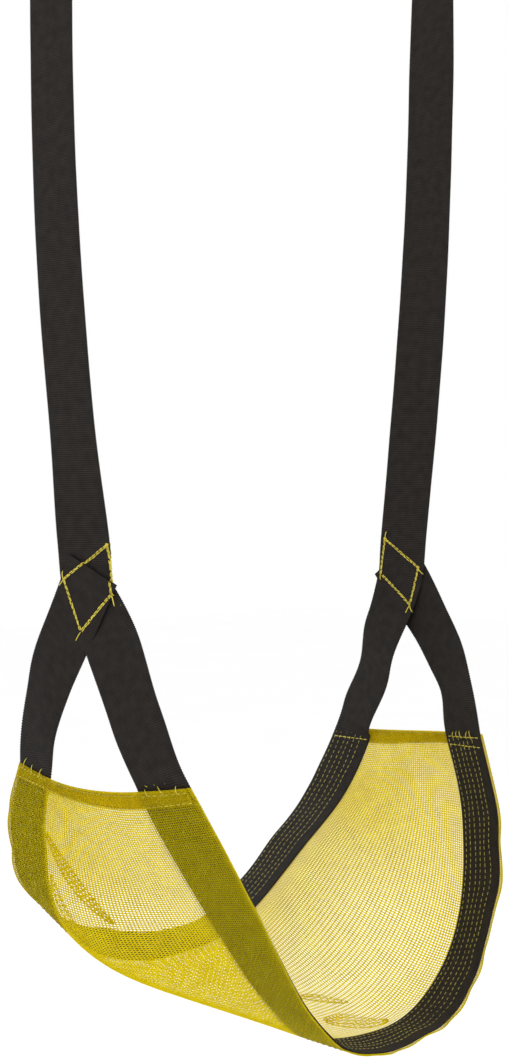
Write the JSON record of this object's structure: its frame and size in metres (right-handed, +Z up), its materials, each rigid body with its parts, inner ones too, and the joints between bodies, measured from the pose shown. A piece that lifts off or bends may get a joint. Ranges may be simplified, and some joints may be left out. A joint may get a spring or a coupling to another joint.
{
  "type": "swing seat",
  "caption": "Sling swing seat of open coated mesh edged with webbing, hung by long straps that cross at sewn diamonds and end in loops with steel rings and snap carabiners",
  "frame": {"origin": "under the middle of the part, level with its lowest point", "axes": "+X from the seat's left end to its right end, -Y the front, +Z up"},
  "size_m": [0.501, 0.2024, 1.1341],
  "materials": {
    "mesh": "open-weave coated polyester mesh, satin",
    "hem": "folded coated mesh, satin",
    "webbing": "flat ribbed polypropylene webbing",
    "thread": "thick bonded sewing thread",
    "ring_steel": "zinc-plated welded wire",
    "hook_steel": "zinc-plated bent wire",
    "gate_steel": "zinc-plated rod",
    "pin_steel": "rivet",
    "spring_steel": "spring wire"
  },
  "bodies": {
    "hangers": {"left_carabiner": "hook_steel", "right_carabiner": "hook_steel"},
    "left_gate": {"left_gate": "gate_steel", "left_gate_pin": "pin_steel", "left_gate_spring": "spring_steel"},
    "right_gate": {"right_gate": "gate_steel", "right_gate_pin": "pin_steel", "right_gate_spring": "spring_steel"},
    "seat": {"mesh_panel": "mesh", "left_hem": "hem", "right_hem": "hem", "strap_a": "webbing", "strap_b": "webbing", "front_edge_stitching": "thread", "rear_edge_stitching": "thread", "left_front_corner_stitching": "thread", "left_rear_corner_stitching": "thread", "left_hem_stitching": "thread", "left_diamond_stitching": "thread", "left_loop_stitching": "thread", "right_front_corner_stitching": "thread", "right_rear_corner_stitching": "thread", "right_hem_stitching": "thread", "right_diamond_stitching": "thread", "right_loop_stitching": "thread", "left_ring": "ring_steel", "right_ring": "ring_steel"}
  },
  "joints": [
    {"name": "swing", "type": "hinge", "parent": "hangers", "child": "seat", "pos_m": [0, 0, 1.05859], "axis": [1, 0, 0], "range_deg": [-60, 60]},
    {"name": "left_gate_hinge", "type": "hinge", "parent": "hangers", "child": "left_gate", "pos_m": [-0.2462, 0, 1.08261], "axis": [0, 1, 0], "range_deg": [0, 30], "stiffness_Nm_per_rad": 0.05, "springref_deg": -17.19},
    {"name": "right_gate_hinge", "type": "hinge", "parent": "hangers", "child": "right_gate", "pos_m": [0.24683, 0, 1.08257], "axis": [0, -1, 0], "range_deg": [0, 30], "stiffness_Nm_per_rad": 0.05, "springref_deg": -17.19}
  ]
}
